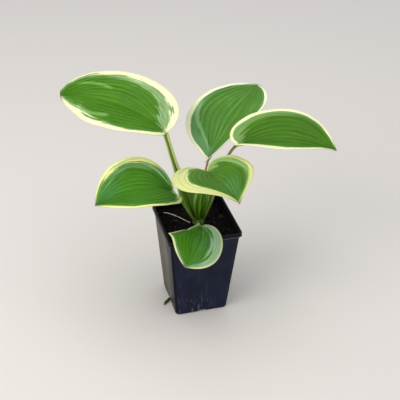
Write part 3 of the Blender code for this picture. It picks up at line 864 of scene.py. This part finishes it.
def make_pot(material):
    """Rings from the middle of the bottom, up the outside, over the rim and down the inside."""
    def quarter(step):
        """Sine, and 1 minus cosine, at steps through a right angle."""
        turns = np.radians(range(0, 91, step))
        return zip(np.sin(turns), 1 - np.cos(turns))

    rim = POT_HEIGHT - RIM_HEIGHT
    outside = [(wall_width(2 * rise) - 4 * (1 - out), 2 * rise) for out, rise in quarter(15)]
    outside += [(wall_width(z), z) for z in np.linspace(6, 112, 20)]
    outside += [(wall_width(rim), rim - 0.25), (wall_width(rim) + 0.3, rim), (POT_TOP - 1.4, rim + 0.05)]
    outside += [(POT_TOP - 1 * (1 - out), rim + 0.1 + 0.5 * rise) for out, rise in quarter(30)]
    outside += [(POT_TOP - 0.5, rim + 1.5), (POT_TOP - 0.5, POT_HEIGHT - 1.4)]
    outside += [(POT_TOP - 0.3 - 1.2 * fall, POT_HEIGHT - 0.6 + 0.6 * up) for up, fall in quarter(22)]
    mouth = wall_width(POT_HEIGHT) - 2 * POT_WALL
    inside = [(mouth + 0.8, POT_HEIGHT), (mouth + 0.2, POT_HEIGHT - 0.2), (mouth, POT_HEIGHT - 0.8)]
    inside += [(wall_width(z) - 2 * POT_WALL, z) for z in np.linspace(112, 4, 14)]
    inside.append((wall_width(3.2) - 2 * POT_WALL - 4, 1.2))
    rings = [rounded_square(30, 3, 0)]
    rings += [rounded_square(width, POT_CORNER, z) for width, z in outside]
    rings += [rounded_square(width, POT_CORNER - POT_WALL, z) for width, z in inside]
    pot = skin("nursery_pot", rings, material)
    cut_slots(pot)
    pot.data.set_sharp_from_angle(angle=math.radians(50))
    declare(pot, "pot_plastic", "pot")


def pale_marks_and_rim_highlight(sh, colour, scratches, cloud):
    """Pale marks low on the front face and a painted highlight along the rim's lower edge, with the marks'
    mask.
    """
    x, y, z = sh.node("SeparateXYZ", sh.place()).outputs
    front = sh.step(y, -0.03, -0.0325)
    low = sh.times(sh.step(z, 0.034, 0.008), sh.step(x, 0.02, 0.000))
    pale_marks = sh.times(sh.times(sh.step(scratches, 0.54, 0.72), front), low)
    # painted highlight: a pale line along the rim's lower edge
    rim_highlight = sh.times(sh.step(z, 0.112, 0.1146), sh.step(z, 0.1166, 0.1152))
    rim_highlight = sh.times(rim_highlight, sh.times(sh.step(x, 0.008, 0.02), front))
    rim_highlight = sh.times(rim_highlight, sh.step(cloud, 0.3, 0.55))
    return sh.over(colour, srgb(122, 126, 146), sh.math("MAXIMUM", pale_marks, rim_highlight), 0.6), pale_marks


def floor_reflection(sh, colour, scratches, smears, wall):
    """The left wall, painted brown-grey as a painted reflection of the floor, streaked downwards, darker
    low down and with paler streaks. wall is half the pot's width at each height.
    """
    x, y, z = sh.node("SeparateXYZ", sh.place()).outputs
    left = sh.step(sh.math("ADD", x, wall), 0.002, 0.0008)
    left = sh.times(sh.times(left, 0.85), sh.step(y, -0.026, -0.012))
    # painted reflection of the floor on the left wall, darker low down
    colour = sh.over(colour, srgb(84, 70, 34), left, sh.line(smears, 0.9, 0.1))
    colour = sh.over(colour, srgb(44, 36, 18), left, sh.step(z, 0.08, 0.01))
    lighter_band = sh.times(sh.step(y, -0.018, -0.01), sh.step(y, 0.006, -0.004))
    pale_streaks = sh.math("MAXIMUM", sh.step(scratches, 0.56, 0.76), sh.times(lighter_band, 0.6))
    return sh.over(colour, srgb(140, 132, 108), sh.times(pale_streaks, left), 0.35)


def pot_material():
    sh = Shader("moulded_pot", Specular_IOR_Level=0.14)
    place = sh.place()
    x, y, z = sh.node("SeparateXYZ", place).outputs
    cloud = sh.noise(place, 28, 4, 0.6)
    grime = sh.noise(place, 420, 3, 0.6)

    def runs(across, downward):
        """Noise drawn out down the walls."""
        return sh.fibres((x, across), (y, across), sh.times(z, downward), 3, 0.6)

    scratches, smears = runs(700, 45), runs(190, 14)
    colour = sh.mix(sh.step(cloud, 0.3, 0.75), srgb(11, 17, 38), srgb(22, 29, 55))
    colour = sh.over(colour, srgb(52, 56, 80), sh.step(smears, 0.5, 0.72), 0.3)
    colour, pale_marks = pale_marks_and_rim_highlight(sh, colour, scratches, cloud)
    slope = (wall_width(POT_HEIGHT) - wall_width(0)) / 2 / POT_HEIGHT
    wall = sh.line(z, slope, wall_width(0) / 2 * MM)
    colour = floor_reflection(sh, colour, scratches, smears, wall)
    rim = POT_HEIGHT - RIM_HEIGHT
    # painted shade: the rim above its lower edge made nearly black
    colour = sh.over(colour, srgb(8, 9, 14), sh.step(z, (rim + 0.2) * MM, (rim + 1.4) * MM), 0.92)
    # the inner side of the walls, painted near-black as painted shade inside the pot
    out = sh.math("MAXIMUM", sh.math("ABSOLUTE", x), sh.math("ABSOLUTE", y))
    out = sh.minus(out, wall)
    shaded_lining = sh.step(out, -0.3 * POT_WALL * MM, -0.8 * POT_WALL * MM)
    colour = sh.over(colour, srgb(8, 5, 7), shaded_lining, 0.9)
    rough = sh.math("ADD", sh.line(cloud, 0.18, 0.3), sh.times(pale_marks, 0.2))
    rough = sh.math("MAXIMUM", rough, sh.times(shaded_lining, 0.7))
    relief = sh.bump(cloud, 0.001, 0.25)
    relief = sh.bump(grime, 0.0001, 0.35, relief)
    return sh.finish(colour, rough, relief)


# ---- soil, crown, roots, strand


SOIL_TOP = 109
GRAINS, SPECKS = 900, 46


def soil_material():
    sh = Shader("potting_mix", Specular_IOR_Level=0.12)
    place = sh.place()
    grain = sh.noise(place, 900, 4, 0.7)
    clump = sh.noise(place, 180, 3, 0.6)
    colour = sh.mix(sh.step(clump, 0.35, 0.7), srgb(6, 3, 4), srgb(26, 16, 17))
    colour = sh.over(colour, srgb(74, 44, 38), sh.step(grain, 0.64, 0.8), 0.45)
    relief = sh.bump(clump, 0.002, 0.8)
    relief = sh.bump(grain, 0.0006, 0.8, relief)
    return sh.finish(colour, sh.line(grain, 0.2, 0.74), relief)


def soil_height(x, y):
    share = np.clip(np.maximum(np.abs(x), np.abs(y)) / (wall_width(SOIL_TOP) / 2), 0, 1)
    return SOIL_TOP + (1 - share**2)


def from_crown(x, y):
    return np.hypot(x - CROWN[0], y - CROWN[1])


def merged(pieces):
    """Points and faces of several pieces as one."""
    points, faces, total = [], [], 0
    for more, more_faces in pieces:
        points.append(more)
        faces += [tuple(k + total for k in face) for face in more_faces]
        total += len(more)
    return np.vstack(points), faces


def crumb(size, source):
    """A small lumpy grain."""
    bm = bmesh.new()
    bmesh.ops.create_icosphere(bm, subdivisions=2 if size > 1.4 else 1, radius=1)
    points = np.array([v.co for v in bm.verts])
    faces = [tuple(v.index for v in f.verts) for f in bm.faces]
    bm.free()
    stretch = source.uniform(0.55, 1.25, 3)
    lump = 1 + 0.22 * np.sin(points @ source.uniform(-3, 3, (3, 3))).sum(axis=1)
    turn, _ = np.linalg.qr(source.normal(size=(3, 3)))
    return (points * lump[:, None] * stretch * size) @ turn, faces


def make_soil(material):
    """The soil's uneven surface, with loose grains all over it."""
    half = wall_width(SOIL_TOP) / 2 - POT_WALL - 0.25
    count = 120
    side = np.linspace(-half, half, count)
    x, y = np.meshgrid(side, side, indexing="ij")
    bumps = 0.75 * lattice_noise(x, y, 7, 1)
    bumps = bumps + 0.55 * lattice_noise(x, y, 2.6, 2) + 0.3 * lattice_noise(x, y, 1.2, 3)
    heaped = np.exp(-((from_crown(x, y) - 9) / 4)**2)
    z = soil_height(x, y) + 0.75 + bumps + 0.8 * heaped
    faces = [(a, d, c, b) for a, b, c, d in grid_faces(count, count)]
    pieces = [(np.stack([x, y, z], axis=-1).reshape(-1, 3), faces)]
    source = np.random.default_rng(11)
    for _ in range(GRAINS):
        cx, cy = source.uniform(-half + 1.5, half - 1.5, 2)
        size = 0.35 + 1.5 * source.uniform()**3
        if from_crown(cx, cy) < 8.5 + size:
            continue
        lump, faces = crumb(size, source)
        i, j = (int((c + half) / (2 * half) * (count - 1)) for c in (cx, cy))
        pieces.append((lump + (cx, cy, z[i, j] + 0.15 * size), faces))
    declare(add_mesh("soil_surface", *merged(pieces), material), "potting_soil")


def fibre(centre, nearest, source):
    """A short bent fibre. None of it passes nearest, on the low side of each axis."""
    turn = source.uniform(0, 2 * math.pi)
    away = np.array((math.cos(turn), math.sin(turn), 0)) * source.uniform(2.5, 7)
    bend = np.array((-away[1], away[0], 0)) * source.uniform(-0.3, 0.3)
    route = smooth_route([centre - away / 2, centre + bend + (0, 0, 0.5), centre + away / 2], 10)
    route = np.clip(route, nearest, None)
    angles = angles_around(5)
    radius = 0.16
    rings = [oval_ring(at, *frame, angles, radius, radius) for at, frame in zip(route, ring_frames(route))]
    return with_ends(rings), skin_faces(len(rings), len(angles))


def make_specks(material):
    """Pale bits and short fibres that lie on the soil, by turns."""
    source = np.random.default_rng(23)
    pieces = []
    half = wall_width(SOIL_TOP) / 2 - POT_WALL - 3
    for k in range(SPECKS):
        cx, cy = source.uniform(-half, half, 2)
        if from_crown(cx, cy) < 10:
            continue
        top = soil_height(cx, cy) + 1.35
        if k % 2:
            lump, faces = crumb(source.uniform(0.3, 0.7), source)
            pieces.append((lump + (cx, cy, top + 0.2), faces))
        else:
            pieces.append(fibre((cx, cy, top + 0.3), -half - 2, source))
    declare(add_mesh("soil_bits", *merged(pieces), material), "potting_soil")


def specks_material():
    sh = Shader("soil_bits", IOR=1.4)
    place = sh.place()
    tone = sh.noise(place, 160, 2)
    colour = sh.mix(sh.step(tone, 0.42, 0.6), srgb(70, 46, 34), srgb(140, 118, 98))
    grain = sh.noise(place, 2500, 2)
    return sh.finish(colour, sh.line(grain, 0.2, 0.7), sh.bump(grain, 0.0001, 0.6))


def make_crown(material):
    """The crown's top: overlapping sheath scales around a low boss."""
    angles, rings, fields = angles_around(64), [], []
    profile = (
        (98, 4.6), (101, 6.7), (105, 7.5), (108.5, 7.7), (110.5, 7.5),
        (112.3, 7), (114.2, 6), (115.6, 4.6), (116.2, 2.6),
    )
    for k, (z, radius) in enumerate(profile):
        turn = angles / (2 * np.pi)
        scale = (turn * 5 + 0.12 * k) % 1
        grown = radius * (0.94 + 0.1 * scale**0.6)
        wave = 0.5 * np.sin(5 * angles + 0.7 * k) if k > 4 else 0
        x, y = CROWN[0] + grown * np.cos(angles), CROWN[1] + grown * np.sin(angles)
        rings.append(ring_values(x, y, z + wave))
        fields.append(ring_values(turn, z - profile[0][0], scale))
    declare(skin("crown_sheaths", rings, material, around=fields), "crown_skin", "crown")


def crown_material():
    sh = Shader("crown_sheath", Subsurface_Weight=0.08, Subsurface_Scale=0.002, IOR=1.42)
    turn, rise, scale = sh.field("around")
    lines = sh.fibres((turn, 70), (rise, 0.1), 2)
    colour = sh.mix(sh.step(lines, 0.35, 0.65), srgb(26, 58, 6), srgb(104, 134, 46))
    colour = sh.mix(sh.step(scale, 0.8, 0.98), colour, srgb(150, 172, 84))
    colour = sh.mix(sh.step(rise, 15, 10), colour, srgb(92, 62, 40))
    return sh.finish(colour, sh.line(lines, 0.15, 0.42), sh.bump(lines, 0.0004, 0.6))


ROOT_ROUTE = (
    (2, 3.8, 97.7), (1.4, 3.9, 94.7), (-22, 10, 72), (-28.5, 7, 36), (-29.5, 0.5, 5),
    (-34, -1.5, 2), (-39.5, -6.5, 1.6), (-43.5, -10.5, 1.3),
)


def make_root(material):
    """The root that leaves by a drain slot, swollen and dark near its end."""
    count, angles = 150, angles_around(14)
    route = smooth_route(ROOT_ROUTE, count)
    rings = []
    for share, point, frame in zip(np.linspace(0, 1, count), route, ring_frames(route)):
        swelling = 0.95 * math.exp(-((share - 0.94) / 0.07)**2)
        radius = 1.1 - 0.35 * share**2 + swelling + 0.1 * lattice_noise(share * 60, 0, 1, 5)
        radius *= max(0.12, min(1, (1 - share) / 0.035))**0.5
        rings.append(oval_ring(point, *frame, angles, radius, radius))
    declare(skin("root_tip", rings, material), "root_skin", "root_to_slot")


def root_material():
    sh = Shader("root_bark", IOR=1.4)
    place = sh.place()
    tone = sh.noise(place, 260, 3)
    x = sh.node("SeparateXYZ", place).outputs[0]
    bare = sh.mix(sh.step(tone, 0.35, 0.65), srgb(126, 104, 70), srgb(164, 142, 100))
    outside = sh.mix(sh.step(tone, 0.35, 0.7), srgb(60, 56, 14), srgb(84, 86, 22))
    colour = sh.mix(sh.step(x, -0.026, -0.031), bare, outside)
    colour = sh.mix(sh.step(x, -0.0405, -0.0435), colour, srgb(112, 110, 50))
    return sh.finish(colour, sh.line(tone, 0.2, 0.5), sh.bump(tone, 0.0004, 0.6))


STRAND_ROUTE = (
    (-36.8, 33.2, 0), (-31, 32.2, 0.5), (-24, 26, 1),
    (-15.5, 15.5, 0.8), (-9, 7, 0.3), (-6, 3.4, 0),
)


def make_strand(material):
    """A dry strand that lies on the soil, slightly ribbed and twisted."""
    count, angles = 90, angles_around(14)
    points = [(x, y, soil_height(x, y) + 1.1 + lift) for x, y, lift in STRAND_ROUTE]
    route = smooth_route(points, count)
    rings, fields = [], []
    for share, point, frame in zip(np.linspace(0, 1, count), route, ring_frames(route)):
        radius = 0.48 * (1 + 0.15 * lattice_noise(share * 25, 0, 1, 3))
        radius *= 0.55 + 0.45 * min(1, 6 * share)
        radius *= 1 if share < 0.97 else 0.75
        turned = angles + 1.2 * share
        radius = radius * (1 + 0.14 * np.cos(5 * turned))
        rings.append(oval_ring(point, *frame, turned, radius, 0.75 * radius))
        fields.append(ring_values(angles / (2 * np.pi), share * 50, 0))
    declare(skin("straw", rings, material, around=fields), "dry_straw", "dry_strand")


def straw_material():
    sh = Shader("straw", IOR=1.4)
    turn, along, _ = sh.field("around")
    lines = sh.fibres((turn, 16), (along, 0.12), 0, 3)
    colour = sh.mix(sh.step(lines, 0.35, 0.65), srgb(244, 222, 214), srgb(255, 250, 246))
    return sh.finish(colour, sh.line(lines, 0.15, 0.6), sh.bump(lines, 0.0002, 0.6))


# ---- room


def make_floor():
    bpy.ops.mesh.primitive_plane_add(size=14, location=(0, 0, 0))
    floor = bpy.context.object
    floor.name = "floor"
    sh = Shader("pale_floor", IOR=1.45)
    floor.data.materials.append(sh.finish(srgb(219, 213, 208), 0.55))


def make_light():
    """An even surround and two soft lamps that face the plant."""
    world = bpy.data.worlds.new("studio")
    bpy.context.scene.world = world
    world.use_nodes = True
    sky = world.node_tree.nodes["Background"]
    sky.inputs["Color"].default_value = (0.93, 0.96, 1, 1)
    sky.inputs["Strength"].default_value = 0.68
    for name, place, size, power, colour in (
        ("key", (0.15, -0.15, 2), 1.8, 14, (1, 0.98, 0.94)),
        ("fill", (-1.4, -0.6, 1.1), 1.2, 17, (1, 0.97, 0.93)),
    ):
        lamp = bpy.data.lights.new(name, "AREA")
        lamp.size = size
        lamp.energy = power
        lamp.color = colour
        shown = show(name, lamp)
        shown.location = place
        aim = Vector((0, 0, 0.12)) - shown.location
        shown.rotation_euler = aim.to_track_quat("-Z", "Y").to_euler()


def make_camera():
    lens = bpy.data.cameras.new("camera")
    lens.sensor_width = 36
    lens.lens = 76.5
    lens.clip_start = 0.01
    lens.clip_end = 50
    camera = show("camera", lens)
    turn = Euler(np.radians((56.7098, -1.1236, -16.0308)))
    camera.matrix_world = Matrix.LocRotScale((-0.239492, -0.808781, 0.699051), turn, None)
    bpy.context.scene.camera = camera


bpy.context.scene.view_settings.view_transform = "Standard"
make_camera()
make_floor()
make_light()
make_pot(pot_material())
earth = soil_material()
make_soil(earth)
make_specks(specks_material())
make_crown(crown_material())
bark = root_material()
make_root(bark)
make_strand(straw_material())
for number, leaf in enumerate(LEAVES):
    make_stalk(leaf, stalk_material(leaf))
    make_blade(leaf, blade_material(leaf, 10 * number))
# the soil's body and the roots inside it keep their CAD shapes
for name, material in (("soil", earth), ("root_front", bark), ("root_right", bark), ("root_back", bark)):
    for slot in frame["nodes"][name].material_slots:
        slot.material = material
